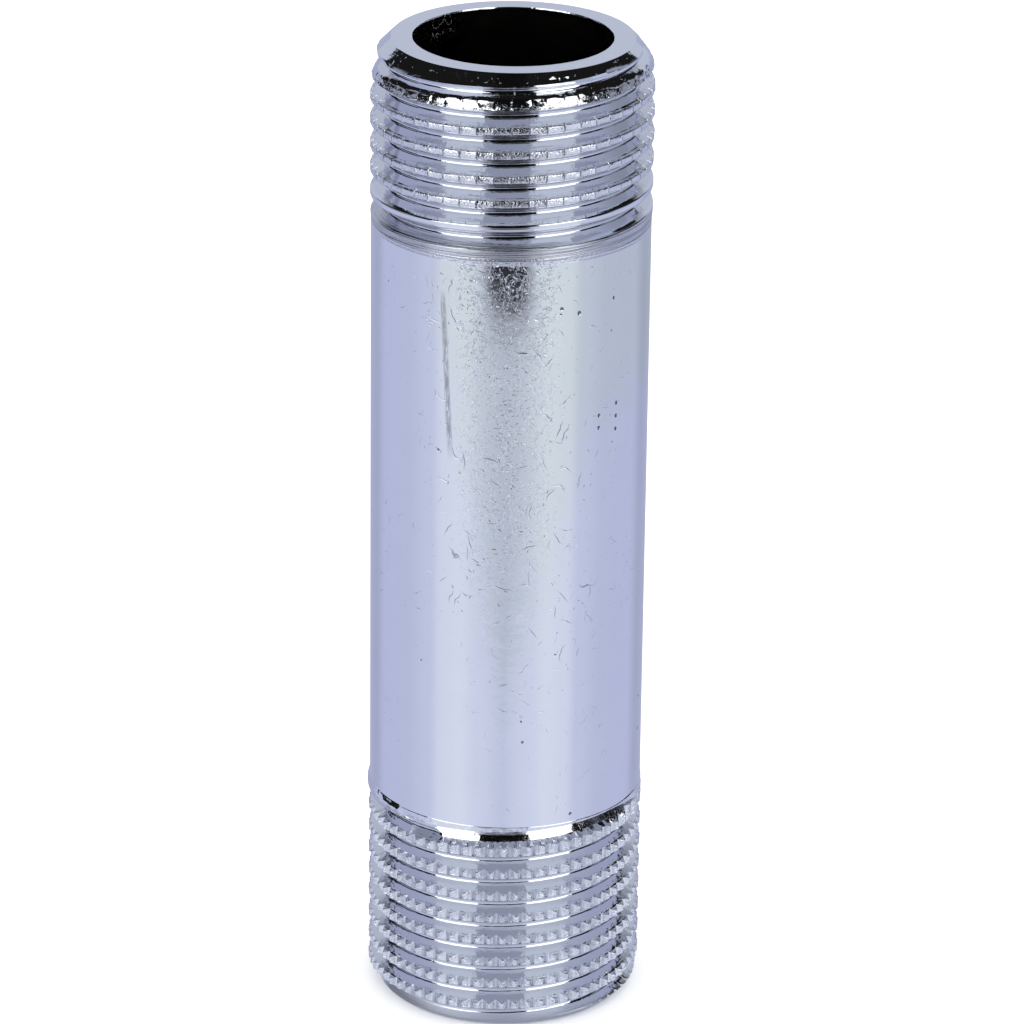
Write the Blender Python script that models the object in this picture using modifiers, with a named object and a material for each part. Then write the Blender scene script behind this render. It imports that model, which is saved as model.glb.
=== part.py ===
"""A straight pipe nipple: one turned brass tube with a smooth barrel between two G 1/2 external threads.

The axis is +Z. The origin is the centre of the lower end face, so the part stands on z = 0.
Angles around the axis are measured from the front (-Y) towards +X.
"""

import math

import bmesh
import bpy
from mathutils import Matrix

# Driving sizes of the turned blank, in metres.
LENGTH = 0.0750
BORE_RADIUS = 0.007275
BARREL_RADIUS = 0.01028
UPPER_CREST_RADIUS = 0.01034
LOWER_CREST_RADIUS = 0.01038
UPPER_FACE_RADIUS = 0.00888
LOWER_FACE_RADIUS = 0.00945
BARREL_TOP = 0.0614
BARREL_BOTTOM = 0.0170
RIM_TOP = 0.0166

# The 55 degree pipe thread, 14 threads to the inch, right-hand.
PITCH = 0.0254 / 14.0
PITCH_RADIUS = 0.0098965
ROOT_RADIUS = 0.0093155
HALF_ANGLE = math.radians(27.5)

# Height of one root of each thread at the front of the part.
UPPER_ROOT_AT_FRONT = 0.06292
LOWER_ROOT_AT_FRONT = 0.01367

# How far each groove runs, in degrees of turn.
UPPER_FADE_START = -90.0
UPPER_FADE_TURN = 270.0
LOWER_FADE_START = 330.0
LOWER_FADE_TURN = 22.5

# The wide, shallow-sloped run-out in which the lower thread's last groove ends, just under the rim.
RELIEF_START = 307.5
RELIEF_PLUNGE_TURN = 15.0
RELIEF_RISE_START = 420.0
RELIEF_END = 450.0
RELIEF_FLOOR_RADIUS = 0.00928
RELIEF_SLOPE_RADIUS = 0.00966
RELIEF_FLOOR_START = 0.00045
RELIEF_TOP = 0.00080
RELIEF_FLANK_GAP = 0.00003

SEGMENTS = 48
CUTTER_OVERHANG = 0.00032
SMOOTH_ANGLE = math.radians(25.0)
SLIVER_SIZE = 0.000012


def clear_scene():
    """Remove every object that a new file starts with."""
    for old in list(bpy.data.objects):
        bpy.data.objects.remove(old, do_unlink=True)


def new_collection(name):
    """Make a collection under the scene's own."""
    collection = bpy.data.collections.new(name)
    bpy.context.scene.collection.children.link(collection)
    return collection


def chrome():
    """Bright chromium plate over brass, with a cool cast."""
    material = bpy.data.materials.new("chrome_plate")
    material.use_nodes = True
    shader = material.node_tree.nodes["Principled BSDF"]
    shader.inputs["Base Color"].default_value = (0.70, 0.71, 0.78, 1.0)
    shader.inputs["Metallic"].default_value = 1.0
    shader.inputs["Roughness"].default_value = 0.12
    return material


def blank_profile():
    """Radius and height down the outside of the blank, then back up the bore."""
    upper_chamfer = UPPER_CREST_RADIUS - UPPER_FACE_RADIUS
    lower_chamfer = LOWER_CREST_RADIUS - LOWER_FACE_RADIUS
    crest_step = UPPER_CREST_RADIUS - BARREL_RADIUS
    return [
        (BORE_RADIUS, LENGTH),
        (UPPER_FACE_RADIUS, LENGTH),
        (UPPER_CREST_RADIUS, LENGTH - upper_chamfer),
        (UPPER_CREST_RADIUS, BARREL_TOP + crest_step),
        (BARREL_RADIUS, BARREL_TOP),
        (BARREL_RADIUS, BARREL_BOTTOM),
        (LOWER_CREST_RADIUS, RIM_TOP),
        (LOWER_CREST_RADIUS, lower_chamfer),
        (LOWER_FACE_RADIUS, 0.0),
        (BORE_RADIUS, 0.0),
    ]


def turned_blank(collection):
    """Turn the blank's closed profile round the axis."""
    mesh = bpy.data.meshes.new("nipple_blank")
    points = [(radius, 0.0, height) for radius, height in blank_profile()]
    edges = [(i, (i + 1) % len(points)) for i in range(len(points))]
    mesh.from_pydata(points, edges, [])
    blank = bpy.data.objects.new("nipple_body", mesh)
    collection.objects.link(blank)
    screw = blank.modifiers.new("turn", "SCREW")
    screw.axis = "Z"
    screw.angle = 2.0 * math.pi
    screw.steps = SEGMENTS
    screw.render_steps = SEGMENTS
    screw.use_merge_vertices = True
    screw.merge_threshold = 0.00001
    return blank


def groove_half_width(radius):
    """Half the axial width of the V groove where it crosses a radius."""
    return PITCH / 4.0 + (radius - PITCH_RADIUS) * math.tan(HALF_ANGLE)


def groove_section(crest):
    """The V that cuts one groove, as radius and height from the root line."""
    outer = crest + CUTTER_OVERHANG
    inner_half = groove_half_width(ROOT_RADIUS)
    outer_half = groove_half_width(outer)
    return [
        (ROOT_RADIUS, inner_half),
        (ROOT_RADIUS, -inner_half),
        (outer, -outer_half),
        (outer, outer_half),
    ]


def relief_section():
    """The run-out: from the last ridge's flank a shallow slope in to a narrow floor under the rim."""
    outer = LOWER_CREST_RADIUS + CUTTER_OVERHANG
    return [
        (RELIEF_FLOOR_RADIUS, RELIEF_TOP),
        (RELIEF_FLOOR_RADIUS, RELIEF_FLOOR_START),
        (RELIEF_SLOPE_RADIUS, RELIEF_FLANK_GAP - groove_half_width(RELIEF_SLOPE_RADIUS)),
        (outer, RELIEF_FLANK_GAP - groove_half_width(outer)),
        (outer, RELIEF_TOP),
    ]


def groove_cutter(name, collection, section, root_at_front, start_turn, end_turn, lift):
    """A solid ridge that follows the thread's helix and cuts a groove of the given section.

    The turns are in degrees from the front. lift(turn) says how far out of the metal the tool has moved.
    """
    degrees_per_step = 360.0 / SEGMENTS
    steps = round((end_turn - start_turn) / degrees_per_step)
    bm = bmesh.new()
    corners = [bm.verts.new((radius, 0.0, height)) for radius, height in section]
    face = bm.faces.new(corners)
    start = math.radians(start_turn - 90.0)
    start_height = root_at_front + PITCH * start_turn / 360.0
    placing = Matrix.Translation((0.0, 0.0, start_height)) @ Matrix.Rotation(start, 4, "Z")
    bmesh.ops.transform(bm, matrix=placing, verts=corners)
    bmesh.ops.spin(
        bm,
        geom=[face] + face.edges[:] + face.verts[:],
        cent=(0.0, 0.0, 0.0),
        axis=(0.0, 0.0, 1.0),
        dvec=(0.0, 0.0, PITCH / SEGMENTS),
        angle=math.radians(degrees_per_step * steps),
        steps=steps,
    )
    bmesh.ops.holes_fill(bm, edges=bm.edges[:])
    for vertex in bm.verts:
        lift_out(vertex, root_at_front, start_turn, lift)
    bmesh.ops.recalc_face_normals(bm, faces=bm.faces[:])
    mesh = bpy.data.meshes.new(name)
    bm.to_mesh(mesh)
    bm.free()
    cutter = bpy.data.objects.new(name, mesh)
    cutter.hide_render = True
    cutter.display_type = "WIRE"
    collection.objects.link(cutter)
    return cutter


def lift_out(vertex, root_at_front, start_turn, lift):
    """Move a cutter's corner outwards by what the tool has lifted at its place on the helix."""
    around = math.degrees(math.atan2(vertex.co.x, -vertex.co.y))
    along = (vertex.co.z - root_at_front) / PITCH * 360.0
    turn = around + 360.0 * round((along - around) / 360.0)
    amount = lift(turn)
    radius = math.hypot(vertex.co.x, vertex.co.y)
    scale = (radius + amount) / radius
    vertex.co.x *= scale
    vertex.co.y *= scale


def upper_lift(turn):
    """The upper groove fades out round the back of the part, where it meets the barrel."""
    faded = (UPPER_FADE_START - turn) / UPPER_FADE_TURN
    return max(0.0, faded) * (UPPER_CREST_RADIUS - ROOT_RADIUS)


def lower_lift(turn):
    """The lower groove lifts out of the metal inside the run-out."""
    faded = (turn - LOWER_FADE_START) / LOWER_FADE_TURN
    return max(0.0, faded) * (LOWER_CREST_RADIUS + CUTTER_OVERHANG - ROOT_RADIUS)


def relief_lift(turn):
    """The run-out plunges in at the front left and rises out again at the right."""
    before = (RELIEF_START + RELIEF_PLUNGE_TURN - turn) / RELIEF_PLUNGE_TURN
    after = (turn - RELIEF_RISE_START) / (RELIEF_END - RELIEF_RISE_START)
    depth = LOWER_CREST_RADIUS + CUTTER_OVERHANG - RELIEF_FLOOR_RADIUS
    return max(0.0, before, after) * depth


def cut(body, cutter):
    """Take a cutter out of the body with an exact Boolean."""
    boolean = body.modifiers.new("cut_" + cutter.name, "BOOLEAN")
    boolean.operation = "DIFFERENCE"
    boolean.solver = "EXACT"
    boolean.object = cutter


def join_slivers(mesh):
    """Close up the hair-thin faces that the cuts leave where their edges meet the blank's."""
    bm = bmesh.new()
    bm.from_mesh(mesh)
    bmesh.ops.triangulate(bm, faces=bm.faces[:])
    bmesh.ops.remove_doubles(bm, verts=bm.verts[:], dist=SLIVER_SIZE)
    bmesh.ops.dissolve_degenerate(bm, edges=bm.edges[:], dist=SLIVER_SIZE)
    bmesh.ops.triangulate(bm, faces=bm.faces[:])
    bm.to_mesh(mesh)
    bm.free()


def make_real(body, material):
    """Replace the modifiers by their result, and shade the round faces smooth."""
    depsgraph = bpy.context.evaluated_depsgraph_get()
    mesh = bpy.data.meshes.new_from_object(body.evaluated_get(depsgraph))
    mesh.name = "nipple_body"
    join_slivers(mesh)
    blank_mesh = body.data
    body.modifiers.clear()
    body.data = mesh
    bpy.data.meshes.remove(blank_mesh)
    mesh.materials.clear()
    mesh.materials.append(material)
    mesh.shade_smooth()
    mesh.set_sharp_from_angle(angle=SMOOTH_ANGLE)


def build():
    clear_scene()
    parts = new_collection("threaded_pipe_nipple")
    cutters = new_collection("cutters")
    body = turned_blank(parts)
    turns_above_root = math.ceil((LENGTH - UPPER_ROOT_AT_FRONT) / PITCH) + 1
    upper = groove_cutter(
        "upper_thread_groove",
        cutters,
        groove_section(UPPER_CREST_RADIUS),
        UPPER_ROOT_AT_FRONT,
        UPPER_FADE_START - UPPER_FADE_TURN,
        360.0 * turns_above_root,
        upper_lift,
    )
    turns_below_root = math.ceil(LOWER_ROOT_AT_FRONT / PITCH) + 1
    lower = groove_cutter(
        "lower_thread_groove",
        cutters,
        groove_section(LOWER_CREST_RADIUS),
        LOWER_ROOT_AT_FRONT,
        -360.0 * turns_below_root,
        LOWER_FADE_START + LOWER_FADE_TURN,
        lower_lift,
    )
    relief = groove_cutter(
        "lower_thread_relief",
        cutters,
        relief_section(),
        LOWER_ROOT_AT_FRONT,
        RELIEF_START,
        RELIEF_END,
        relief_lift,
    )
    cut(body, upper)
    cut(body, lower)
    cut(body, relief)
    bpy.context.view_layer.update()
    make_real(body, chrome())


build()
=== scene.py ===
import math

import bpy
import numpy as np
from mathutils import Matrix, Vector


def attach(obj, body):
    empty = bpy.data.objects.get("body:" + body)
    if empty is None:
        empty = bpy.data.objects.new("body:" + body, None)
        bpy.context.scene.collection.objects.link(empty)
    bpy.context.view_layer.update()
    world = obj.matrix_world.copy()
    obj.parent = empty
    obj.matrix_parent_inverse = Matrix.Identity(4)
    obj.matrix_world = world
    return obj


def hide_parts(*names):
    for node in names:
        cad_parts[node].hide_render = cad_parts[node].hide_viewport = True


# A chromed brass pipe nipple with an external thread on each end, standing on a pale studio floor.
# Lengths are in millimetres until the mesh is made. Angles round the axis start at the front (-Y)
# and grow towards +X.

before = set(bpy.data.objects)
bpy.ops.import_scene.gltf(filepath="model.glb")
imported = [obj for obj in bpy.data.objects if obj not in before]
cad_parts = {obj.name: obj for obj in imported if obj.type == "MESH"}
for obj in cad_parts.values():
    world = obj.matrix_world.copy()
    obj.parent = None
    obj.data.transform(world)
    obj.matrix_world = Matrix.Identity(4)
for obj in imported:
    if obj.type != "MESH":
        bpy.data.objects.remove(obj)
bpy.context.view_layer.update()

MM = 0.001
TURN = 2.0 * math.pi

# The turned blank.
LENGTH = 75.0
BORE = 7.275
BARREL = 10.28
BARREL_TOP = 61.1
BARREL_BOTTOM = 17.1
BARREL_JOIN = 0.4
BARREL_RINGS = 13
BARREL_SIDES = 160

# The mouths of the bore: sharp and ragged at the top, with a small chamfer at the bottom.
LIP_WIDTH = 0.035
LIP_RAGGED = 0.012
LIP_DROP = 0.075
LIP_DROP_UNEVEN = 0.02
LIP_CORNER = 0.04
MOUTH_DEPTH = 1.2
LOWER_LIP = 0.1
BORE_RINGS = 10

# The 55 degree pipe thread.
PITCH = 25.4 / 14.0
PITCH_RADIUS = 9.8965
ROOT_RADIUS = 9.3155
ROOT_ROUND = 0.2492
FLANK = math.radians(27.5)
FLANK_SLOPE = 1.0 / math.tan(FLANK)
APEX_RADIUS = PITCH_RADIUS + FLANK_SLOPE * PITCH / 4.0

# Upper thread. Its fade is in degrees along the helix.
UPPER_ROOT = 62.92
UPPER_CREST = 10.34
UPPER_ROUND = 0.11
UPPER_CHAMFER_FOOT = LENGTH + 8.88
UPPER_FADE_START = -90.0
UPPER_FADE_TURN = 255.0
UPPER_FADE_LIFT = 1.05
UPPER_FADE_CURVE = 1.7
STRIP_TOP = 62.1
STRIP_FOOT = 61.4
STRIP_STEP = 0.06
KNURL_FOOT = 64.95
KNURL_HEAD = 71.9
NOTCHES = 51
NOTCH_DEPTH = 0.15
NOTCH_HALF = 0.06
NOTCH_LIP = 0.18
LIP_HEIGHT = 0.03
CREST_LEAN = 0.12
LEAN_REACH = 0.25
NICK_DEPTH = 0.05

# The first ridge: the height of its middle in front, and the slope that it is beaten down to.
FIRST_RIDGE = 72.9
FIRST_RIDGE_FOOT = (-0.62, -0.5)
FIRST_RIDGE_HEAD = (0.5, 0.6)
BEATEN_TOP = 0.55
BEATEN_START = -0.36
BEATEN_SLOPE = 0.5

# Lower thread. The lift of its last groove is in degrees along the helix.
LOWER_ROOT = 13.67
LOWER_CREST = 10.38
LOWER_ROUND = 0.02
LOWER_CHAMFER_FOOT = 9.45
LOWER_LIFT = (325.0, 345.0)
TEETH = 64
TOOTH_DEPTH = 0.42

# The run-out of the lower thread. It plunges in and rises out at these angles from the front.
RELIEF_ROOT = 15.48
RELIEF_FLOOR = 9.28
RELIEF_SLOPE = 0.49
RELIEF_SLOPE_RADIUS = 9.66
RELIEF_SLOPE_START = -0.33
RELIEF_FOOT = -0.45
RELIEF_TOP = 0.74
RELIEF_PLUNGE = (-52.0, -47.0)
RELIEF_RISE = (46.0, 78.0)
CLEAR = 1.1

# The rim at the foot of the barrel, and the flare that it has at the left and the back.
RIM_HEAD = 16.72
RIM_LEDGE = 0.004
RIM_RADIUS = 10.33
RIM_CLIMB = (95.0, 170.0)
FLARE_RADIUS = 10.45
FLARE_FOOT = 16.40
FLARE_HEAD = 16.85
FLARE_BEND = 0.03
FLARE_END = -48.7
FLARE_FADE = 1.5
FLARE_START = (110.0, 150.0)

# How close a row of points may come to the edge of its zone, and where edges are drawn sharp.
ROW_GAP = 0.035
SHARP_ANGLE = math.radians(34.0)
FACETED_HEAD = 0.93


def value_noise(x, y, seed):
    """Smooth noise between -1 and 1 on a unit lattice, the same in every run."""
    def lattice(i, j):
        h = np.sin(i * 127.1 + j * 311.7 + seed * 74.7) * 43758.5453
        return 2.0 * (h - np.floor(h)) - 1.0
    xi = np.floor(x)
    yi = np.floor(y)
    fx = x - xi
    fy = y - yi
    sx = fx * fx * (3.0 - 2.0 * fx)
    sy = fy * fy * (3.0 - 2.0 * fy)
    low = lattice(xi, yi) * (1 - sx) + lattice(xi + 1, yi) * sx
    high = lattice(xi, yi + 1) * (1 - sx) + lattice(xi + 1, yi + 1) * sx
    return low * (1 - sy) + high * sy


def ramp(x, low, high):
    """0 below low, 1 above high, smooth between."""
    t = np.clip((x - low) / (high - low), 0.0, 1.0)
    return t * t * (3.0 - 2.0 * t)


def front_angle(phi):
    """Degrees from the front, between -180 and 180."""
    return np.degrees((phi + math.pi) % TURN - math.pi)


def crest_flat(crest, rounding):
    """Half the width of the cylinder left on top of a ridge whose two edges are rounded."""
    reach = (APEX_RADIUS - crest + rounding) * math.sin(FLANK) - rounding
    return reach / math.cos(FLANK)


def thread_profile(u, crest, rounding):
    """Radius at a distance u from the nearest root line, along the axis."""
    r = PITCH_RADIUS + FLANK_SLOPE * (u - PITCH / 4.0)
    root_reach = ROOT_ROUND * math.cos(FLANK)
    in_root = ROOT_RADIUS + ROOT_ROUND - np.sqrt(np.maximum(ROOT_ROUND**2 - u**2, 0.0))
    r = np.where(u < root_reach, in_root, r)
    flat = crest_flat(crest, rounding)
    across = np.maximum(PITCH / 2.0 - u - flat, 0.0)
    on_crest = crest - rounding + np.sqrt(np.maximum(rounding**2 - across**2, 0.0))
    return np.where(across < rounding * math.cos(FLANK), on_crest, r)


def helix_place(phi, z, root):
    """Distance to the nearest root line and how many degrees along the helix that line is."""
    turns = (z - root) / PITCH - phi / TURN
    whole = np.round(turns)
    return np.abs(turns - whole) * PITCH, np.degrees(phi) + 360.0 * whole


def crest_lean(phi, z, u):
    """How far the upper half of each crest leans in. It is uneven."""
    turns = (z - UPPER_ROOT) / PITCH - phi / TURN
    reach = np.where(turns < np.round(turns), np.minimum(PITCH / 2.0 - u, LEAN_REACH), 0.0)
    lean = CREST_LEAN * (1.0 + 0.7 * value_noise(phi * NOTCHES / TURN * 1.7, z * 0.55, 41))
    return np.where(z > KNURL_FOOT, lean, 0.0) * reach


def knurled(phi, z, r):
    """Press notches across the upper crests, with a lip raised on each side of them."""
    step = TURN / NOTCHES
    side = np.abs((phi / step + 0.5) % 1.0 - 0.5) * step * UPPER_CREST
    pressed = UPPER_CREST - NOTCH_DEPTH * np.clip(1.0 - side / NOTCH_HALF, 0.0, 1.0)
    lip = LIP_HEIGHT * np.clip(1.0 - np.abs(side - NOTCH_HALF) / (NOTCH_LIP - NOTCH_HALF), 0.0, 1.0)
    lip = lip * (0.6 + 0.6 * value_noise(phi * NOTCHES / TURN * 2.0, z * 0.6, 15))
    top = ramp(r, UPPER_CREST - 0.1, UPPER_CREST - 0.02)
    rough = 0.014 * value_noise(phi * 60.0, z * 9.0, 3) + 0.01 * value_noise(phi * 137.0, z * 21.0, 5)
    inside = (z > KNURL_FOOT) & (z < KNURL_HEAD)
    return np.where(inside, np.minimum(r + top * (lip + rough), pressed + lip), r)


def beaten_ridge(phi, z, r):
    """Beat the first ridge down to a rough slope with torn burrs."""
    over = z - FIRST_RIDGE - PITCH * front_angle(phi) / 360.0
    first = ramp(over, *FIRST_RIDGE_FOOT) * (1.0 - ramp(over, *FIRST_RIDGE_HEAD))
    slope = UPPER_CREST - 0.02 - BEATEN_SLOPE * np.maximum(over - BEATEN_START, 0.0)
    r = np.where((first > 0.0) & (over < BEATEN_TOP), np.minimum(r, slope), r)
    burr = 0.035 * value_noise(phi * 31.0, z * 5.0, 8) + 0.03 * value_noise(phi * 83.0, z * 12.0, 9)
    return r + first * ramp(r, 9.75, 10.0) * (burr - 0.03)


def upper_radius(phi, z):
    """Outer surface over the upper thread."""
    u, along = helix_place(phi, z, UPPER_ROOT)
    fade = np.clip((UPPER_FADE_START - along) / UPPER_FADE_TURN, 0.0, 1.0)
    lift = UPPER_FADE_LIFT * (1.0 - (1.0 - fade) ** UPPER_FADE_CURVE)
    r = thread_profile(u, UPPER_CREST, UPPER_ROUND) + lift
    down = np.clip((STRIP_TOP - z) / (STRIP_TOP - STRIP_FOOT), 0.0, 1.0)
    r = np.minimum(r, UPPER_CREST - STRIP_STEP * down)
    r = np.minimum(r, UPPER_CREST - crest_lean(phi, z, u))
    r = knurled(phi, z, r)
    r = beaten_ridge(phi, z, r)
    # The chamfer at the end, with a few nicks.
    nick = ramp(value_noise(phi * 52.0, z * 7.0, 12), 0.62, 0.8) * NICK_DEPTH
    nick = nick * ramp(LENGTH - z, 0.15, 0.5)
    return np.minimum(r, UPPER_CHAMFER_FOOT - z - nick)


def rim_radius(phi, z):
    """The plain rim over the lower thread, with a wider flare at the left and the back."""
    front = front_angle(phi)
    flared = 1.0 - ramp(front, FLARE_END - FLARE_FADE, FLARE_END + FLARE_FADE) + ramp(front, *FLARE_START)
    down = np.clip((FLARE_HEAD - z) / (FLARE_HEAD - FLARE_FOOT), 0.0, 1.0)
    flare = BARREL + (FLARE_RADIUS - BARREL) * down
    sharp = BARREL + (RIM_RADIUS - BARREL) * np.clip((RIM_HEAD + RIM_LEDGE - z) / RIM_LEDGE, 0.0, 1.0)
    return sharp + (flare - sharp) * flared


def lower_radius(phi, z):
    """Outer surface over the lower thread, with the wide run-out of its last groove in front."""
    u, along = helix_place(phi, z, LOWER_ROOT)
    front = front_angle(phi)
    above = z - RELIEF_ROOT - PITCH * front / 360.0
    rim = ramp(above + PITCH * ramp(front, *RIM_CLIMB), 0.05, 0.35)
    crest = LOWER_CREST + (rim_radius(phi, z) - LOWER_CREST) * rim
    r = thread_profile(u, LOWER_CREST + 0.1, LOWER_ROUND) + CLEAR * ramp(along, *LOWER_LIFT)
    r = np.minimum(r, crest)
    # V flutes pressed along the axis turn each crest into a row of teeth.
    tooth = np.abs((phi * TEETH / TURN + 0.5) % 1.0 - 0.5) * 2.0
    depth = TOOTH_DEPTH * (1.0 + 0.10 * value_noise(phi * TEETH / TURN, z * 0.9, 21))
    flute = LOWER_CREST + 0.02 - depth * tooth + rim
    rough = 0.010 * value_noise(phi * 70.0, z * 8.0, 23) + 0.008 * value_noise(phi * 150.0, z * 19.0, 25)
    top = ramp(r, 10.1, 10.3)
    r = np.minimum(r, np.minimum(flute, crest)) + top * rough
    # The run-out: a conical ramp from the last ridge in under the rim of the barrel.
    cut_in = ramp(front, *RELIEF_PLUNGE) * (1.0 - ramp(front, *RELIEF_RISE))
    cone = np.maximum(RELIEF_FLOOR, RELIEF_SLOPE_RADIUS - RELIEF_SLOPE * (above - RELIEF_SLOPE_START))
    inside = (above > RELIEF_FOOT) & (above < RELIEF_TOP)
    cone = np.where(inside, cone + CLEAR * (1.0 - cut_in), FLARE_RADIUS + CLEAR)
    r = np.minimum(r, cone)
    return np.minimum(r, LOWER_CHAMFER_FOOT + z)


class Skin:
    """Points and faces of the surface. A ring is the numbers of its points with their angles."""

    def __init__(self):
        self.rows = []
        self.faces = []
        self.count = 0

    def add_points(self, phi, r, z):
        """Add a row of points and give their numbers."""
        phi, r, z = np.broadcast_arrays(phi, r, z)
        self.rows.append(np.stack([r * np.sin(phi), -r * np.cos(phi), z], axis=-1).reshape(-1, 3))
        start = self.count
        self.count += phi.size
        return np.arange(start, self.count)

    def add_ring(self, phi, r, z):
        """Add one ring, kept with its angles."""
        return self.add_points(phi, r, z), phi

    def join_equal(self, lower, upper):
        """Join two rings of the same count, the upper one further along the outward path."""
        a, b = lower[0], upper[0]
        a1, b1 = np.roll(a, -1), np.roll(b, -1)
        self.faces.extend(np.stack([a, a1, b1, b], axis=-1).tolist())

    def join_unequal(self, lower, upper):
        """Join two rings of different counts with triangles, by angle."""
        a, pa = lower
        b, pb = upper
        pa = np.append(pa, pa[0] + TURN)
        pb = np.append(pb, pb[0] + TURN)
        i = 0
        j = 0
        while i < len(a) or j < len(b):
            if j >= len(b) or (i < len(a) and pa[i + 1] <= pb[j + 1]):
                self.faces.append([a[i], a[(i + 1) % len(a)], b[j % len(b)]])
                i += 1
            else:
                self.faces.append([a[i % len(a)], b[(j + 1) % len(b)], b[j]])
                j += 1

    def carry_on(self, ring, phi, places):
        """Add rings of the same count one after another. Each place is a radius and a height."""
        for r, z in places:
            following = self.add_ring(phi, r, z)
            self.join_equal(ring, following)
            ring = following
        return ring

    def helical_zone(self, phi, steps, root, low, high, radius):
        """A height field whose rows follow the thread. Gives its lowest and highest ring."""
        first = math.floor((low - root) / PITCH) - 2
        last = math.ceil((high - root) / PITCH) + 2
        rise = np.concatenate([np.array(steps) + n * PITCH for n in range(first, last)])
        z = root + rise[None, :] + PITCH * phi[:, None] / TURN
        j_low = (z <= low + ROW_GAP).sum(axis=1) - 1
        j_high = z.shape[1] - (z >= high - ROW_GAP).sum(axis=1)
        number = np.full(z.shape, -1)
        for i in range(len(phi)):
            span = slice(j_low[i], j_high[i] + 1)
            heights = z[i, span].copy()
            heights[0] = low
            heights[-1] = high
            number[i, span] = self.add_points(phi[i], radius(phi[i], heights), heights)
            number[i, : j_low[i]] = number[i, j_low[i]]
            number[i, j_high[i] :] = number[i, j_high[i]]
        place = np.concatenate(self.rows)
        place = np.stack([np.hypot(place[:, 0], place[:, 1]), place[:, 2]], axis=-1)
        # The last column meets the first one a pitch further up the helix.
        closing = np.append(number[0][len(steps) :], [number[0][-1]] * len(steps))
        columns = [*number, closing]
        middles = (phi + np.roll(phi, -1)) / 2.0
        middles[-1] += TURN / 2.0
        for i in range(len(phi)):
            self.join_columns(columns[i], columns[i + 1], middles[i], place, radius)
        return (number[:, 0], phi), (number[:, -1], phi)

    def join_columns(self, here, there, middle, place, radius):
        """Join two columns, each quad split along the diagonal that lies closer to the true surface."""
        corners = np.stack([here[:-1], there[:-1], there[1:], here[1:]])
        r = place[corners, 0]
        true = radius(middle, place[corners, 1].sum(axis=0) / 4.0)
        rising = np.abs((r[0] + r[2]) / 2.0 - true)
        falling = np.abs((r[1] + r[3]) / 2.0 - true)
        for a, b, c, d, up in zip(*corners, rising <= falling):
            halves = ((a, b, c), (a, c, d)) if up else ((a, b, d), (b, c, d))
            self.faces.extend(half for half in halves if len(set(half)) == 3)


def thread_steps(crest, rounding, extra, arc):
    """Heights of the rows in one pitch, measured from the root line."""
    flat = crest_flat(crest, rounding)
    reach = ROOT_ROUND * math.cos(FLANK)
    edge = PITCH / 2.0 - flat
    half = [0.38 * reach, 0.75 * reach, reach] + extra
    half += [edge - rounding * part for part in arc] + [edge]
    return sorted([-h for h in half] + [0.0] + half + [PITCH / 2.0])


def column_angles(repeats, places):
    """Angles of the columns, the same few places in each repeat."""
    step = TURN / repeats
    base = np.arange(repeats)[:, None] * step
    return (base + np.array(places)[None, :] * step).reshape(-1)


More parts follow.
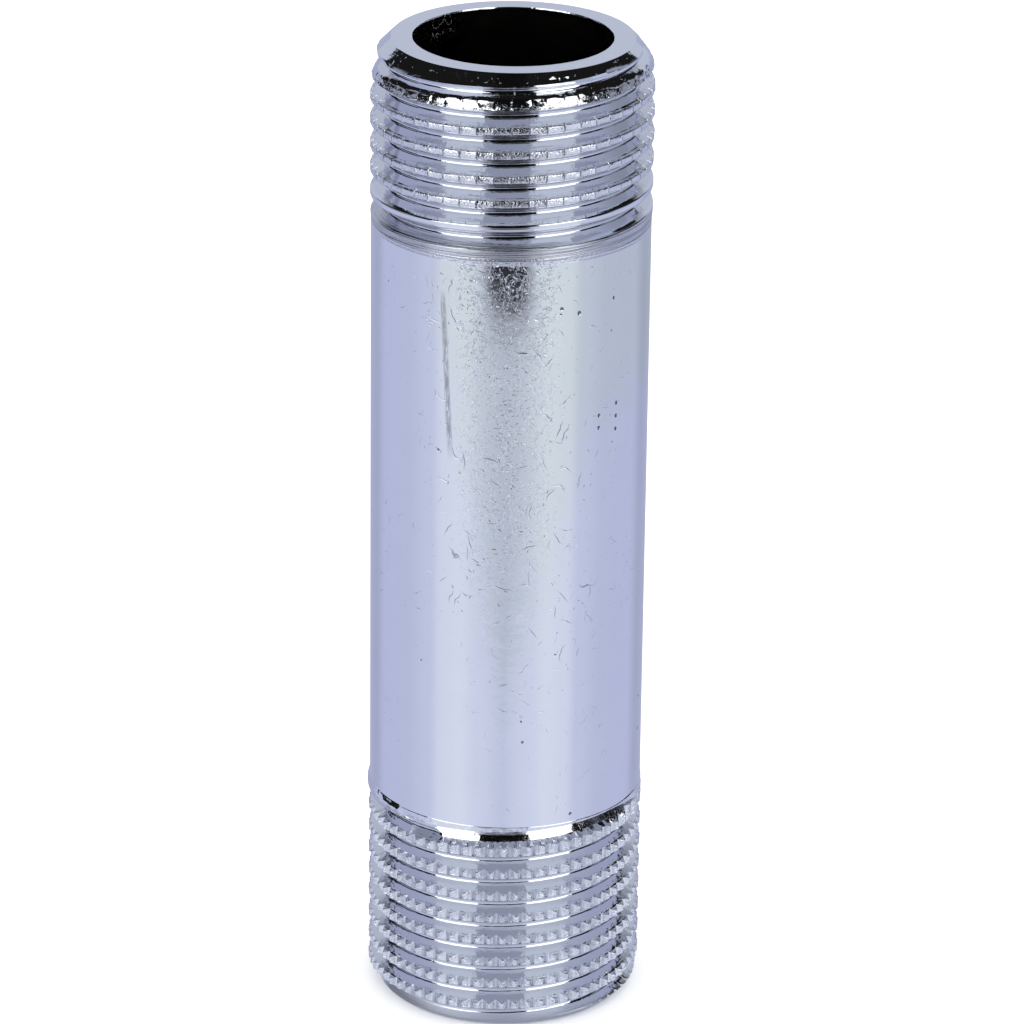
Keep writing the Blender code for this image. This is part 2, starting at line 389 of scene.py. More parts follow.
def build_surface(skin):
    """Make the whole closed skin of the nipple. Gives where the faces of the bore start and end."""
    arc = TURN / NOTCHES * UPPER_CREST
    lip = NOTCH_LIP / arc
    edge = NOTCH_HALF / arc
    upper_phi = column_angles(NOTCHES, [0.0, edge, lip, 0.5, 1.0 - lip, 1.0 - edge])
    lower_phi = column_angles(TEETH, [0.04, 0.27, 0.5, 0.73, 0.96])
    barrel_phi = column_angles(BARREL_SIDES, [0.0])

    lower_steps = thread_steps(LOWER_CREST, LOWER_ROUND, [0.497, 0.598], [0.887])
    upper_steps = thread_steps(UPPER_CREST, UPPER_ROUND, [0.42], [0.887, 0.55])
    foot, neck = skin.helical_zone(lower_phi, lower_steps, LOWER_ROOT, 0.0, RIM_HEAD, lower_radius)
    strip, head = skin.helical_zone(upper_phi, upper_steps, UPPER_ROOT, BARREL_TOP, LENGTH, upper_radius)

    # The rim at the foot of the barrel, then the barrel.
    heights = (RIM_HEAD + RIM_LEDGE, FLARE_HEAD - FLARE_BEND, FLARE_HEAD, FLARE_HEAD + FLARE_BEND)
    rim = skin.carry_on(neck, lower_phi, [(rim_radius(lower_phi, z), z) for z in heights])
    ring = skin.add_ring(barrel_phi, BARREL, BARREL_BOTTOM)
    skin.join_unequal(rim, ring)
    heights = np.linspace(BARREL_BOTTOM, BARREL_TOP - BARREL_JOIN, BARREL_RINGS)[1:]
    ring = skin.carry_on(ring, barrel_phi, [(BARREL, z) for z in heights])
    skin.join_unequal(ring, strip)

    # The upper end face and the ragged edge of the bore.
    ragged = LIP_RAGGED * value_noise(upper_phi * 40.0, upper_phi * 0.0, 31)
    ragged += LIP_RAGGED * value_noise(upper_phi * 97.0, upper_phi * 0.0, 32)
    drop = LIP_DROP + LIP_DROP_UNEVEN * value_noise(upper_phi * 61.0, upper_phi * 0.0, 33)
    mouth = [(BORE + LIP_WIDTH + ragged, LENGTH), (BORE, LENGTH - drop)]
    ring = skin.carry_on(head, upper_phi, mouth)

    # The bore, from the top down to the lower end face.
    bore_start = len(skin.faces)
    upper_end = skin.carry_on(ring, upper_phi, [(BORE, LENGTH - drop - LIP_CORNER)])
    ring = skin.add_ring(barrel_phi, BORE, LENGTH - MOUTH_DEPTH)
    skin.join_unequal(upper_end, ring)
    heights = [*np.linspace(LENGTH - MOUTH_DEPTH, MOUTH_DEPTH, BORE_RINGS)[1:], LOWER_LIP]
    ring = skin.carry_on(ring, barrel_phi, [(BORE, z) for z in heights])
    bore_end = len(skin.faces)
    ring = skin.carry_on(ring, barrel_phi, [(BORE + LOWER_LIP, 0.0)])
    skin.join_unequal(ring, foot)
    return bore_start, bore_end


skin = Skin()
bore_start, bore_end = build_surface(skin)
mesh = bpy.data.meshes.new("nipple_body_fine")
mesh.from_pydata((np.concatenate(skin.rows) * MM).tolist(), [], skin.faces)
mesh.validate()
mesh.shade_smooth()
mesh.set_sharp_from_angle(angle=SHARP_ANGLE)
for polygon in mesh.polygons:
    polygon.use_smooth = polygon.center.z > FACETED_HEAD * MM
nipple = bpy.data.objects.new("nipple_body_fine", mesh)
bpy.context.scene.collection.objects.link(nipple)


class Graph:
    """A short way to write shader nodes."""

    def __init__(self, tree):
        self.tree = tree
        tree.nodes.clear()

    def node(self, kind, **settings):
        made = self.tree.nodes.new(kind)
        for key, value in settings.items():
            setattr(made, key, value)
        return made

    def put(self, socket, value):
        """Link a socket to another one, or give it a plain value."""
        if isinstance(value, bpy.types.NodeSocket):
            self.tree.links.new(value, socket)
        else:
            socket.default_value = value

    def math(self, operation, *values):
        made = self.node("ShaderNodeMath", operation=operation)
        for socket, value in zip(made.inputs, values):
            self.put(socket, value)
        return made.outputs[0]

    def times(self, first, *others):
        """The product of everything given."""
        for other in others:
            first = self.math("MULTIPLY", first, other)
        return first

    def step(self, value, low, high, to_low=0.0, to_high=1.0):
        """A smooth step from to_low at low to to_high at high."""
        made = self.node("ShaderNodeMapRange", interpolation_type="SMOOTHSTEP")
        self.put(made.inputs["Value"], value)
        for name, number in (("From Min", low), ("From Max", high), ("To Min", to_low), ("To Max", to_high)):
            self.put(made.inputs[name], number)
        return made.outputs["Result"]

    def window(self, value, start, full, fall, gone):
        """1 between full and fall, 0 before start and after gone."""
        return self.times(self.step(value, start, full), self.step(value, fall, gone, 1.0, 0.0))

    def close_to(self, value, centre, inner, outer):
        """1 closer than inner to the centre, 0 further than outer."""
        apart = self.math("ABSOLUTE", self.math("SUBTRACT", value, centre))
        return self.step(apart, inner, outer, 1.0, 0.0)

    def mix(self, factor, a, b, blend="MIX"):
        made = self.node("ShaderNodeMix", data_type="RGBA", blend_type=blend)
        self.put(made.inputs[0], factor)
        for socket, colour in ((made.inputs[6], a), (made.inputs[7], b)):
            self.put(socket, (*colour, 1.0) if isinstance(colour, tuple) else colour)
        return made.outputs[2]

    def tone(self, factor, colour, by):
        """Multiply a colour by another one, as far as the factor says."""
        return self.mix(factor, colour, by, "MULTIPLY")

    def ramp(self, value, stops):
        made = self.node("ShaderNodeValToRGB")
        made.color_ramp.interpolation = "EASE"
        elements = made.color_ramp.elements
        while len(elements) < len(stops):
            elements.new(0.5)
        for element, (place, colour) in zip(elements, stops):
            element.position = place
            element.color = (*colour, 1.0)
        self.put(made.inputs[0], value)
        return made.outputs[0]

    def vector(self, x, y, z):
        made = self.node("ShaderNodeCombineXYZ")
        for socket, value in zip(made.inputs, (x, y, z)):
            self.put(socket, value)
        return made.outputs[0]

    def coordinates(self, kind):
        """The three coordinates of the point or direction that is being shaded."""
        split = self.node("ShaderNodeSeparateXYZ")
        self.put(split.inputs[0], self.node("ShaderNodeTexCoord").outputs[kind])
        return split.outputs

    def noise(self, vector, scale, detail=2.0, rough=0.5, distortion=0.0):
        made = self.node("ShaderNodeTexNoise")
        self.put(made.inputs["Vector"], vector)
        made.inputs["Scale"].default_value = scale
        made.inputs["Detail"].default_value = detail
        made.inputs["Roughness"].default_value = rough
        made.inputs["Distortion"].default_value = distortion
        return made.outputs["Fac"]

    def cells(self, vector, scale, dimensions="3D"):
        """A random number for each cell of a pattern, and the distance from the cell's point."""
        made = self.node("ShaderNodeTexVoronoi", feature="F1", voronoi_dimensions=dimensions)
        self.put(made.inputs["Vector"], vector)
        made.inputs["Scale"].default_value = scale
        pick = self.node("ShaderNodeSeparateColor")
        self.put(pick.inputs[0], made.outputs["Color"])
        return pick.outputs[0], made.outputs["Distance"]


# Where the finish changes and where shade is painted, as windows and steps of height in millimetres and of
# angle in radians.
BARREL_FINISH = (17.0, 17.4, 61.2, 61.4)
STRIP_FINISH = (61.25, 61.4, 62.3, 62.6)
SEAM_FINISH = (61.0, 61.2, 61.35, 61.6)
UPPER_GROOVES = (62.6, 63.0)
CHAMFER_START = (72.2, 72.6)
END_FACE_START = (73.2, 73.6)
# Painted shade on the upper thread's grooves: darker towards the right, and in a narrow band on the left.
RIGHT_SHADE_ANGLES = (0.68, 0.98, 1.12, 1.16)
LEFT_SHADE_BAND_ANGLES = (-1.185, -1.165, -1.12, -1.08)
CHATTER_ANGLES = (0.60, 0.68, 1.5, 1.7)
CHATTER_HEIGHTS = (15.1, 15.4, 16.6, 16.7)
BLURRED_FOOT = (0.65, 0.9)
BUMPED_FROM = (0.9, 1.0)

# The families of scratches: slant in degrees, density along the stroke, seed.
SCRATCHES = (
    (4.0, 0.24, 3.0),
    (-34.0, 0.20, 9.0),
    (58.0, 0.22, 17.0),
    (22.0, 0.18, 31.0),
    (-71.0, 0.20, 43.0),
    (13.0, 0.9, 57.0),
    (-50.0, 0.8, 71.0),
)
SCRATCH_COLOUR = (0.30, 0.30, 0.32)

# The long rubbed streak leans to the left as it rises. Its place is that of its line at height 0.
STREAK_PLACE = -1.83
STREAK_LEAN = 0.055
STREAK_EDGE = (0.10, 0.30)
STREAK_HEIGHTS = (45.5, 48.0, 57.5, 59.0)

# Five larger pits at the right, as distance round the barrel and height.
PITS = ((8.85, 49.35), (8.84, 48.35), (8.82, 47.35), (7.1, 48.8), (7.1, 47.85))
PIT_REACH = 0.16
PIT_COLOUR = (0.05, 0.05, 0.06)

# The scrapes inside the mouth of the bore, at the back left.
SCRAPE_ANGLE = -2.3
SCRAPE_SPREAD = (0.12, 0.25)
SCRAPE_HEIGHTS = (73.2, 73.8)


class Place:
    """Where the shaded point lies on the nipple, in millimetres and radians."""

    def __init__(self, g):
        x, y, self.z = [g.times(socket, 1.0 / MM) for socket in g.coordinates("Object")]
        self.solid = g.vector(x, y, self.z)
        self.angle = g.math("ARCTAN2", x, g.times(y, -1.0))
        self.arc = g.times(self.angle, BARREL)
        self.radius = g.math("SQRT", g.math("ADD", g.times(x, x), g.times(y, y)))
        # The height less the rise of the thread.
        self.lead = g.math("MULTIPLY_ADD", self.angle, -PITCH / TURN, self.z)
        self.barrel = g.window(self.z, *BARREL_FINISH)
        self.strip = g.window(self.z, *STRIP_FINISH)
        self.groove = g.step(self.radius, 9.95, 10.2, 1.0, 0.0)


def scratches(g, at, swell):
    """Short thin strokes at a few slants, each in its own cells of a stretched pattern."""
    busy = g.step(g.noise(at.solid, 0.16, 1.0), 0.35, 0.6, 0.35, 1.0)
    in_front = g.step(g.math("ABSOLUTE", at.angle), 0.45, 0.9, 1.0, 0.55)
    busy = g.times(busy, in_front, g.step(at.z, 22.0, 36.0, 0.6, 1.0))
    marks = 0.0
    for slant, density, seed in SCRATCHES:
        c = math.cos(math.radians(slant))
        s = math.sin(math.radians(slant))
        along = g.math("MULTIPLY_ADD", at.arc, s, g.times(at.z, c))
        across = g.math("SUBTRACT", g.times(at.arc, c), g.times(at.z, s))
        bent = g.math("MULTIPLY_ADD", swell, 1.6, across)
        stretched = g.vector(g.math("MULTIPLY_ADD", bent, 3.6, seed), g.times(along, density), 0.0)
        pick, distance = g.cells(stretched, 1.0, "2D")
        reach = g.times(g.step(pick, 0.82, 1.0, 0.0, 0.18), busy)
        cut = g.math("SUBTRACT", reach, distance)
        marks = g.math("MAXIMUM", marks, g.times(cut, 9.0))
    return g.times(g.math("MINIMUM", marks, 1.0), at.barrel)


def curled_marks(g, at):
    """Short curled marks in front, dense just under the upper thread and faint further down."""
    curl = g.close_to(g.noise(at.solid, 3.0, 1.0, 0.5, 0.9), 0.5, 0.012, 0.050)
    broken = g.step(g.noise(at.solid, 1.9, 1.0), 0.40, 0.50)
    away = g.math("ABSOLUTE", g.math("ADD", at.arc, 0.2))
    dense = g.times(g.step(away, 1.6, 4.4, 1.0, 0.0), g.step(at.z, 50.0, 58.0))
    faint = g.times(g.step(away, 2.0, 5.0, 0.16, 0.0), g.step(at.z, 28.0, 46.0))
    return g.times(curl, broken, g.math("MAXIMUM", dense, faint), at.barrel)


def rubbed_streak(g, at):
    """One long streak of fine fibres at the front left."""
    line = g.math("MULTIPLY_ADD", at.z, STREAK_LEAN, at.arc)
    fibre = g.noise(g.vector(g.times(at.arc, 9.0), g.times(at.z, 0.9), 2.0), 1.0, 3.0, 0.7)
    streak = g.times(g.close_to(line, STREAK_PLACE, *STREAK_EDGE), g.step(fibre, 0.30, 0.60))
    return g.times(streak, g.window(at.z, *STREAK_HEIGHTS))


def pit_depths(g, at):
    """Small scattered pits and the few larger ones."""
    pick, distance = g.cells(at.solid, 0.8)
    size = g.step(pick, 0.78, 1.0, 0.0, 0.15)
    pit = g.math("MAXIMUM", g.math("SUBTRACT", size, distance), 0.0)
    for place, level in PITS:
        apart = g.node("ShaderNodeVectorMath", operation="LENGTH")
        off = g.vector(g.math("SUBTRACT", at.arc, place), g.math("SUBTRACT", at.z, level), 0.0)
        g.put(apart.inputs[0], off)
        pit = g.math("MAXIMUM", pit, g.math("SUBTRACT", PIT_REACH, apart.outputs["Value"]))
    return pit


def chamfer_flecks(g, at):
    """Nicks that catch the light on the upper chamfer and the first ridge."""
    chamfer = g.step(at.z, *CHAMFER_START)
    edge = g.times(g.step(at.radius, 9.95, 10.15), chamfer)
    flecks = g.step(g.math("MULTIPLY_ADD", edge, 0.26, g.noise(at.solid, 4.2, 2.0)), 0.70, 0.74)
    return g.times(flecks, g.step(at.radius, 8.95, 9.1), chamfer)


def run_out_chatter(g, at):
    """Chatter marks in the lower run-out, on its right."""
    chatter = g.noise(g.vector(g.times(at.arc, 4.0), g.times(at.z, 2.0), 7.0), 1.0, 3.0, 0.7)
    return g.times(chatter, g.window(at.angle, *CHATTER_ANGLES), g.window(at.z, *CHATTER_HEIGHTS))


def burred_crests(g, at):
    """Where the crests and the first ridge have burred metal."""
    ridge = g.times(g.step(at.radius, 9.75, 9.9, 0.0, 0.3), g.step(at.z, 72.4, 72.6))
    crest = g.math("MAXIMUM", g.step(at.radius, 10.05, 10.25), ridge)
    crest = g.times(crest, g.step(at.z, KNURL_HEAD, 72.6, 1.0, 0.35))
    return g.times(crest, g.math("ADD", g.step(at.z, 64.9, 65.0), g.step(at.z, 15.9, 16.2, 1.7, 0.0)))


def bore_scrapes(g, at):
    """A few curled scrapes just inside the mouth of the bore."""
    curl = g.close_to(g.noise(at.solid, 0.9, 1.0, 0.5, 0.6), 0.5, 0.002, 0.014)
    inside = g.times(g.step(at.radius, 7.3, 7.32, 1.0, 0.0), g.step(at.z, *SCRAPE_HEIGHTS))
    return g.times(curl, inside, g.close_to(at.angle, SCRAPE_ANGLE, *SCRAPE_SPREAD), 0.45)


def plate_colour(g, at, tint, ribs, marks, pit):
    """The plate's colour, with painted shade in the thread grooves, duller on the turned strip and darker
    where it is marked.
    """
    darker = tuple(channel * part for channel, part in zip(tint, (0.94, 0.95, 0.96)))
    colour = g.mix(g.noise(at.solid, 0.35, 2.0), darker, tint)
    # Painted shade: the plate is darker wherever it lies inside the crests, below the upper end face.
    shaded = g.times(g.step(at.radius, 10.0, 10.25, 1.0, 0.0), g.step(at.z, *END_FACE_START, 1.0, 0.0))
    colour = g.tone(shaded, colour, (0.91, 0.91, 0.915))
    # Painted shade: the upper thread's grooves are darker towards the right, and in a narrow band on the
    # left.
    upper = g.times(shaded, g.step(at.z, *UPPER_GROOVES))
    colour = g.tone(g.times(upper, g.window(at.angle, *RIGHT_SHADE_ANGLES)), colour, (0.85, 0.86, 0.82))
    colour = g.tone(g.times(upper, g.window(at.angle, *LEFT_SHADE_BAND_ANGLES)), colour, (0.68, 0.68, 0.67))
    colour = g.tone(at.strip, colour, (0.80, 0.80, 0.80))
    colour = g.tone(g.times(g.step(ribs, 0.50, 0.62), at.strip), colour, (0.62, 0.62, 0.63))
    colour = g.mix(g.times(marks, 0.75), colour, SCRATCH_COLOUR)
    colour = g.mix(g.times(rubbed_streak(g, at), 0.8), colour, SCRATCH_COLOUR)
    return g.mix(g.times(g.step(pit, 0.0, 0.05), at.barrel, 0.8), colour, PIT_COLOUR)


def chrome_material(name, tint, roughness):
    """Nickel-chrome plate: a mirror with polishing lines, scratches, pits and a satin strip."""
    material = bpy.data.materials.new(name)
    material.use_nodes = True
    g = Graph(material.node_tree)
    at = Place(g)
    swell = g.noise(at.solid, 0.55, 2.0)
    marks = scratches(g, at, swell)
    pit = pit_depths(g, at)
    burred = burred_crests(g, at)
    # Turning marks follow the thread's slope: coarse ribs on the strip, finer ones in the grooves.
    ribs = g.noise(g.vector(g.times(at.arc, 0.12), g.times(at.lead, 9.0), 4.0), 1.0, 2.0)
    turned = g.noise(g.vector(g.times(at.arc, 0.35), g.times(at.lead, 14.0), at.radius), 1.0, 2.0)

    height = 0.0
    for pattern, amount in (
        (g.math("SUBTRACT", swell, 0.5), 0.008),
        (g.math("SUBTRACT", g.noise(at.solid, 2.6, 2.0), 0.5), 0.0022),
        (curled_marks(g, at), -0.042),
        (marks, -0.010),
        (g.times(pit, at.barrel), -0.45),
        (g.times(ribs, at.strip), 0.08),
        (g.times(g.noise(at.solid, 5.0, 2.0), g.window(at.z, *SEAM_FINISH)), 0.06),
        (chamfer_flecks(g, at), 0.05),
        (g.times(turned, at.groove), 0.006),
        (g.times(g.noise(at.solid, 1.3, 2.0), at.groove), 0.016),
        (run_out_chatter(g, at), 0.028),
        (g.times(g.noise(at.solid, 6.5, 2.0), burred), 0.05),
    ):
        height = g.math("MULTIPLY_ADD", pattern, amount, height)
    bump = g.node("ShaderNodeBump")
    bump.inputs["Strength"].default_value = 1.0
    bump.inputs["Distance"].default_value = MM
    g.put(bump.inputs["Height"], g.times(height, g.step(at.z, *BUMPED_FROM)))

    rough = g.math("MULTIPLY_ADD", g.noise(at.solid, 1.3, 3.0), 0.05, roughness - 0.02)
    for pattern, amount in ((at.strip, 0.16), (burred, 0.08), (marks, 0.10)):
        rough = g.math("MULTIPLY_ADD", pattern, amount, rough)
    rough = g.math("ADD", rough, g.step(at.z, *BLURRED_FOOT, 0.35, 0.0))

    shader = g.node("ShaderNodeBsdfPrincipled")
    g.put(shader.inputs["Base Color"], plate_colour(g, at, tint, ribs, marks, pit))
    g.put(shader.inputs["Metallic"], g.math("SUBTRACT", 1.0, bore_scrapes(g, at)))
    g.put(shader.inputs["Roughness"], rough)
    g.put(shader.inputs["Normal"], bump.outputs[0])
    out = g.node("ShaderNodeOutputMaterial")
    g.put(out.inputs[0], shader.outputs[0])
    return material


mesh.materials.append(chrome_material("chrome_plate_outside", (0.83, 0.845, 0.87), 0.06))
# The bore's plate is given a dark colour, painted shade for the dark inside of the bore.
mesh.materials.append(chrome_material("chrome_plate_bore_painted_shade", (0.30, 0.29, 0.28), 0.14))
for polygon in mesh.polygons[bore_start:bore_end]:
    polygon.material_index = 1

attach(nipple, "root")
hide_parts("nipple_body")


# The studio that the plate mirrors, in degrees. Azimuth is measured from the front to the right,
# side from the front to either hand, and height from the horizon.
RIGHT_HALF_SHIFT = 5.5
SOFTBOX_SIDES = (25.7, 26.3, 66.5, 67.5)
SOFTBOX_HEIGHTS = (3.0, 4.0, 50.0, 52.0)
SOFTBOX_COLOUR = (2.2, 2.2, 2.2)
POOL_SIDES = (25.5, 26.5, 66.0, 68.0)
POOL_FOOT = (-43.6, -42.4)
POOL_COLOUR = (0.84, 0.89, 1.02)
NEAR_FLOOR_EDGE = (-28.0, -26.0)
WEDGE_END = (-19.0, -17.0)
DARK = (0.010, 0.010, 0.010)
GREY = (0.30, 0.32, 0.41)
GREY_SIDE = (93.0, 96.0)
GREY_HEIGHTS = (8.0, 10.0, 40.0, 43.0)
GREY_SLANT = (134.0, 138.0)
WALL_SIDE = (139.0, 141.0)
CORNER_AZIMUTH = (-142.0, -140.0)
CORNER_HEIGHTS = (28.0, 30.0, 40.0, 44.0)
DIP_AZIMUTHS = (-130.0, -126.0, -92.5, -91.0)
DIP_DEPTH = 8.5

# The two lamps overhead, by how far a direction leans from the vertical, sideways and backwards.
LAMP_COLOUR = (0.62, 0.66, 0.78)
LAMP_ACROSS = (0.10, 0.14, 0.36, 0.42)
LAMP_FRONT = (0.0, 0.05)
LAMP_BACK = (0.24, 0.34)
LAMP_BACK_LEFT = 0.085
LAMP_BACK_RIGHT = 0.02

# The two floors run from the front to the back, and the wall from the horizon to straight up.
FAR_FLOOR = (
    (0.00, (0.63, 0.67, 0.86)),
    (0.13, (0.71, 0.75, 0.93)),
    (0.22, (0.78, 0.82, 0.97)),
    (0.31, (0.75, 0.79, 0.95)),
    (0.38, (0.62, 0.66, 0.86)),
    (0.52, (0.55, 0.59, 0.80)),
    (0.68, (0.54, 0.57, 0.80)),
    (0.80, (0.42, 0.45, 0.63)),
    (1.00, (0.45, 0.47, 0.65)),
)
NEAR_FLOOR = (
    (0.00, (0.45, 0.47, 0.60)),
    (0.14, (0.45, 0.47, 0.60)),
    (0.152, (0.55, 0.58, 0.68)),
    (0.36, (0.52, 0.54, 0.69)),
    (0.38, (0.48, 0.49, 0.65)),
    (0.53, (0.38, 0.42, 0.54)),
    (0.62, (0.34, 0.37, 0.48)),
    (0.70, (0.30, 0.32, 0.42)),
    (1.00, (0.33, 0.35, 0.44)),
)
WALL = (
    (0.00, (0.54, 0.58, 0.70)),
    (0.25, (0.55, 0.59, 0.71)),
    (0.32, (0.36, 0.39, 0.46)),
    (0.38, (0.27, 0.29, 0.36)),
    (0.46, (0.23, 0.25, 0.32)),
    (0.54, (0.28, 0.31, 0.39)),
    (0.63, (0.34, 0.35, 0.44)),
    (0.72, (0.41, 0.42, 0.52)),
    (0.80, (0.46, 0.47, 0.53)),
    (0.86, (0.33, 0.33, 0.40)),
    (1.00, (0.31, 0.31, 0.38)),
)


class Direction:
    """Which way a mirrored ray goes."""

    def __init__(self, g):
        self.x, self.y, self.z = g.coordinates("Generated")
        azimuth = g.math("ARCTAN2", self.x, g.times(self.y, -1.0))
        self.azimuth = g.times(azimuth, math.degrees(1.0))
        self.height = g.times(g.math("ARCSINE", self.z), math.degrees(1.0))
        # What stands on the right stands a little nearer the front.
        side = g.math("ABSOLUTE", self.azimuth)
        shift = g.step(self.azimuth, -2.0, 2.0, 0.0, RIGHT_HALF_SHIFT)
        shift = g.times(shift, g.step(side, 80.0, 130.0, 1.0, 0.0))
        self.side = g.math("ADD", side, shift)


def mirrored_floor(g, to):
    """The floor, brightest below the two softboxes and dull at the sides and near the nipple."""
    part = g.math("DIVIDE", to.side, 180.0)
    near = g.ramp(part, NEAR_FLOOR)
    pool = g.window(to.side, *POOL_SIDES)
    near = g.tone(g.times(pool, g.step(to.azimuth, -2.0, 2.0, 1.0, 0.0)), near, (0.82, 0.82, 0.83))
    near = g.mix(g.times(pool, g.step(to.height, *POOL_FOOT)), near, POOL_COLOUR)
    floor = g.mix(g.step(to.height, *NEAR_FLOOR_EDGE, 1.0, 0.0), g.ramp(part, FAR_FLOOR), near)
    # A greener wedge in front, wider on the right where it is further off.
    width = g.math("MINIMUM", g.math("MULTIPLY_ADD", to.height, 15.5, 372.0), 66.0)
    wider = g.step(to.height, -23.4, -22.6, 0.0, 25.0)
    wider = g.math("ADD", wider, g.step(to.height, -21.3, -20.3, 0.0, 85.0))
    width = g.math("MULTIPLY_ADD", g.step(to.azimuth, -1.0, 1.0), wider, width)
    wedge = g.step(g.math("SUBTRACT", to.side, width), -12.0, 8.0, 1.0, 0.0)
    wedge = g.times(wedge, g.step(to.height, *WEDGE_END, 1.0, 0.0))
    floor = g.tone(wedge, floor, (0.97, 1.0, 0.87))
    return g.tone(g.times(wedge, g.step(to.side, 14.0, 32.0, 1.0, 0.0)), floor, (0.88, 0.88, 0.90))


def mirrored_room(g, to):
    """What lies above the floor: dark in front, dark at the sides, a pale wall behind."""
    dusky = g.times(g.step(to.azimuth, 60.0, 62.0), g.step(to.height, 8.0, 12.0, 1.0, 0.0))
    gloom = g.mix(dusky, DARK, (0.038, 0.042, 0.055))
    paler = g.times(g.step(to.azimuth, 120.0, 124.0), g.step(to.height, 12.0, 16.0, 1.0, 0.0))
    gloom = g.mix(paler, gloom, (0.14, 0.15, 0.19))
    # A grey wall between them, at middle height.
    grey = g.times(g.step(to.side, *GREY_SIDE), g.window(to.height, *GREY_HEIGHTS))
    grey = g.times(grey, g.step(g.math("ADD", to.height, to.side), *GREY_SLANT, 1.0, 0.0))
    gloom = g.mix(grey, gloom, GREY)
    # The wall has a darker corner on the left.
    wall = g.ramp(g.math("DIVIDE", to.height, 90.0), WALL)
    corner = g.times(g.step(to.azimuth, *CORNER_AZIMUTH, 1.0, 0.0), g.window(to.height, *CORNER_HEIGHTS))
    wall = g.tone(corner, wall, (0.60, 0.60, 0.62))
    return g.mix(g.step(to.side, *WALL_SIDE), gloom, wall)


def overhead_lamps(g, to):
    """Two lamps overhead, a little behind the object. The left one ends nearer."""
    across = g.math("DIVIDE", g.math("ABSOLUTE", to.x), to.z)
    back = g.math("DIVIDE", to.y, to.z)
    further = g.math("ADD", g.step(to.azimuth, -4.0, 4.0, LAMP_BACK_LEFT, LAMP_BACK_RIGHT), back)
    lamp = g.times(g.window(across, *LAMP_ACROSS), g.step(back, *LAMP_FRONT))
    return g.times(lamp, g.step(further, *LAMP_BACK, 1.0, 0.0), g.step(to.z, 0.80, 0.85))


def studio_world():
    """White for the camera, even light for the floor and a coded studio for mirror reflections."""
    world = bpy.data.worlds.new("studio")
    bpy.context.scene.world = world
    world.use_nodes = True
    world.cycles.sampling_method = "NONE"
    g = Graph(world.node_tree)
    to = Direction(g)
    room = g.mix(overhead_lamps(g, to), mirrored_room(g, to), LAMP_COLOUR)
    # The floor ends near the horizon, higher in front and lower on part of the left.
    horizon = g.step(to.side, 25.0, 27.0, 18.0, 3.0)
    horizon = g.math("MULTIPLY_ADD", g.window(to.azimuth, *DIP_AZIMUTHS), -DIP_DEPTH, horizon)
    above = g.step(g.math("SUBTRACT", to.height, horizon), -0.8, 0.8)
    studio = g.mix(above, mirrored_floor(g, to), room)
    softboxes = g.times(g.window(to.side, *SOFTBOX_SIDES), g.window(to.height, *SOFTBOX_HEIGHTS))
    studio = g.mix(softboxes, studio, SOFTBOX_COLOUR)

    rays = g.node("ShaderNodeLightPath")
    glossy = g.mix(rays.outputs["Is Glossy Ray"], (1.60, 1.60, 1.60), studio)
    final = g.mix(rays.outputs["Is Camera Ray"], glossy, (1.0, 1.0, 1.0))
    shader = g.node("ShaderNodeBackground")
    g.put(shader.inputs[0], final)
    out = g.node("ShaderNodeOutputWorld")
    g.put(out.inputs[0], shader.outputs[0])


studio_world()

# The stage and the camera are in metres.
# The card is a glowing sheet of painted reflection that stands in for the dark gap round the camera. Only
# mirror reflections see it.
CARD_Y = -0.094
CARD_LEFT = -0.044
CARD_RIGHT = 0.036
CARD_MIDDLE = -0.003
CARD_FOOT = 0.0225
CARD_SHADE_HEIGHT = 0.030
CARD_SHADE_HEAD = CARD_FOOT + CARD_SHADE_HEIGHT
CARD_HEAD = 0.420
CARD_FOOT_EDGE = 0.006
CARD_HEAD_EDGE = 0.012
CARD_SIDE_EDGE = (0.018, 0.040)
CARD_STOPS = (
    (0.0, (0.50, 0.53, 0.60)),
    (0.11, (0.36, 0.38, 0.42)),
    (0.20, (0.035, 0.035, 0.04)),
    (0.41, (0.02, 0.02, 0.025)),
    (0.50, (0.20, 0.21, 0.23)),
    (0.76, (0.26, 0.27, 0.30)),
    (0.84, (0.02, 0.02, 0.02)),
    (1.0, (0.005, 0.005, 0.005)),
)
FLOOR_REACH = 6.0
FLOOR_DROP = 0.0001


def card_material(name):
    """Glows in a painted reflection of the gap round the camera: shaded from the foot of the card upwards,
    and clear outside a blotchy edge.
    """
    material = bpy.data.materials.new(name)
    material.use_nodes = True
    material.cycles.emission_sampling = "NONE"
    g = Graph(material.node_tree)
    x, _, z = g.coordinates("Object")
    blotch = g.noise(g.vector(g.times(x, 170.0), 0.0, g.times(z, 1300.0)), 1.0, 3.0, 0.6)
    shift = g.math("SUBTRACT", blotch, 0.5)
    rise = g.math("MULTIPLY_ADD", shift, 0.009, z)
    shader = g.node("ShaderNodeEmission")
    part = g.math("DIVIDE", g.math("SUBTRACT", rise, CARD_FOOT), CARD_SHADE_HEIGHT)
    g.put(shader.inputs[0], g.ramp(part, CARD_STOPS))
    away = g.math("MULTIPLY_ADD", shift, 0.030, g.math("ABSOLUTE", g.math("SUBTRACT", x, CARD_MIDDLE)))
    clear = g.step(away, *CARD_SIDE_EDGE)
    clear = g.times(clear, g.step(z, CARD_SHADE_HEAD, CARD_SHADE_HEAD + CARD_HEAD_EDGE, 1.0, 0.0))
    clear = g.math("MAXIMUM", clear, g.step(rise, CARD_FOOT, CARD_FOOT + CARD_FOOT_EDGE, 1.0, 0.0))
    window = g.node("ShaderNodeBsdfTransparent")
    mixed = g.node("ShaderNodeMixShader")
    for socket, value in zip(mixed.inputs, (clear, shader.outputs[0], window.outputs[0])):
        g.put(socket, value)
    out = g.node("ShaderNodeOutputMaterial")
    g.put(out.inputs[0], mixed.outputs[0])
    return material


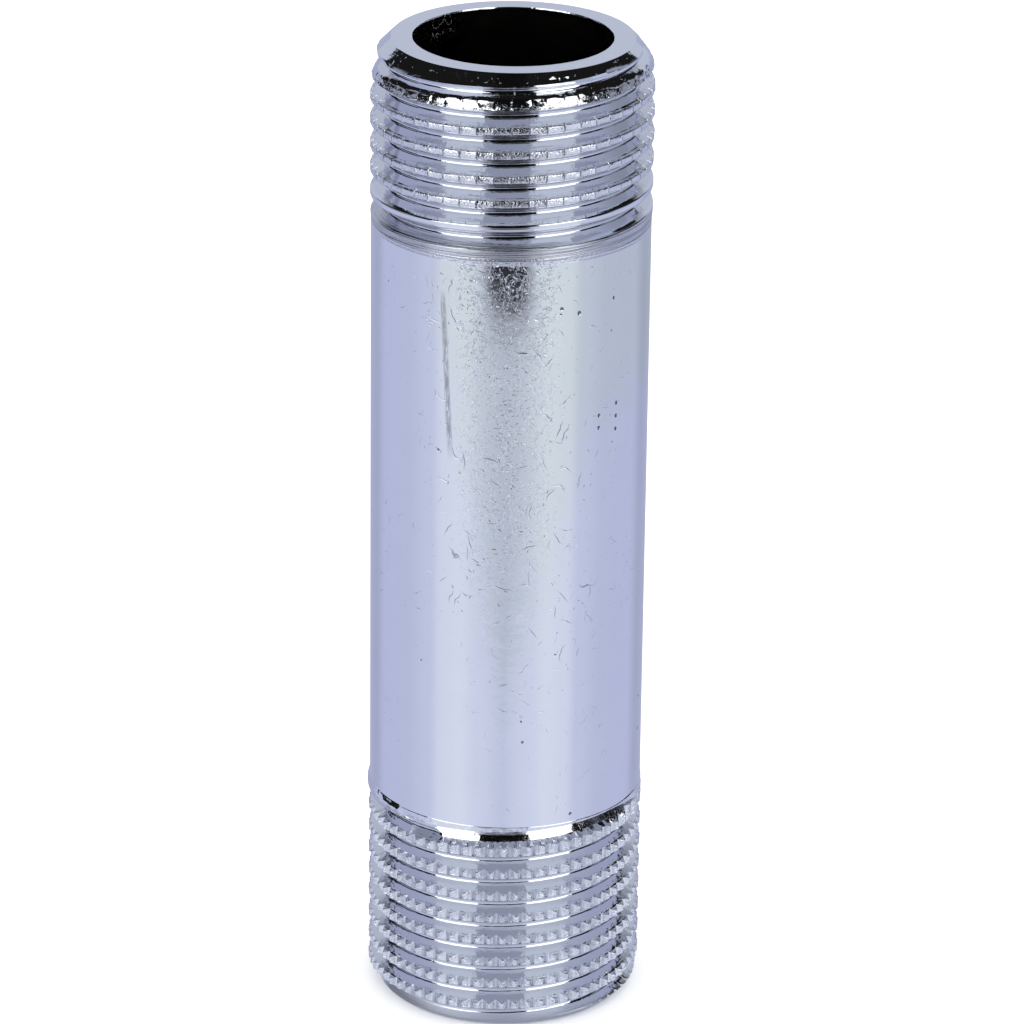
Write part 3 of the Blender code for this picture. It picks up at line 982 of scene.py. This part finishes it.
def floor_material(name):
    """Pale and matt."""
    material = bpy.data.materials.new(name)
    material.use_nodes = True
    shader = material.node_tree.nodes["Principled BSDF"]
    shader.inputs["Base Color"].default_value = (0.92, 0.92, 0.92, 1.0)
    shader.inputs["Roughness"].default_value = 0.9
    shader.inputs["Specular IOR Level"].default_value = 0.0
    return material


def flat_sheet(name, corners, material):
    """A sheet with four corners."""
    sheet_mesh = bpy.data.meshes.new(name)
    sheet_mesh.from_pydata(corners, [], [(0, 1, 2, 3)])
    sheet_mesh.materials.append(material)
    sheet = bpy.data.objects.new(name, sheet_mesh)
    bpy.context.scene.collection.objects.link(sheet)
    return sheet


corners = [
    (CARD_LEFT, CARD_Y, CARD_FOOT),
    (CARD_RIGHT, CARD_Y, CARD_FOOT),
    (CARD_RIGHT, CARD_Y, CARD_HEAD),
    (CARD_LEFT, CARD_Y, CARD_HEAD),
]
card = flat_sheet("camera_gap", corners, card_material("camera_gap"))
card.visible_camera = False
card.visible_diffuse = False
card.visible_shadow = False
card.visible_transmission = False

quarters = ((-1, -1), (1, -1), (1, 1), (-1, 1))
corners = [(x * FLOOR_REACH, y * FLOOR_REACH, -FLOOR_DROP) for x, y in quarters]
floor = flat_sheet("studio_floor", corners, floor_material("studio_floor"))
# Mirror reflections see the world's coded floor instead.
floor.visible_glossy = False

# The camera, from the fit to the photograph. The angles are in degrees.
CAMERA_LENS = 191.32
CAMERA_SHIFT = -0.00088
CAMERA_PLACE = (0.000375, -0.3770, 0.1905)
CAMERA_TILT = 67.97
CAMERA_ROLL = 0.684
camera_data = bpy.data.cameras.new("camera")
camera_data.lens = CAMERA_LENS
camera_data.sensor_width = 36.0
camera_data.shift_x = CAMERA_SHIFT
camera = bpy.data.objects.new("camera", camera_data)
bpy.context.scene.collection.objects.link(camera)
camera.matrix_world = (
    Matrix.Translation(Vector(CAMERA_PLACE))
    @ Matrix.Rotation(math.radians(CAMERA_TILT), 4, "X")
    @ Matrix.Rotation(math.radians(CAMERA_ROLL), 4, "Z")
)
bpy.context.scene.camera = camera
bpy.context.scene.view_settings.view_transform = "Standard"
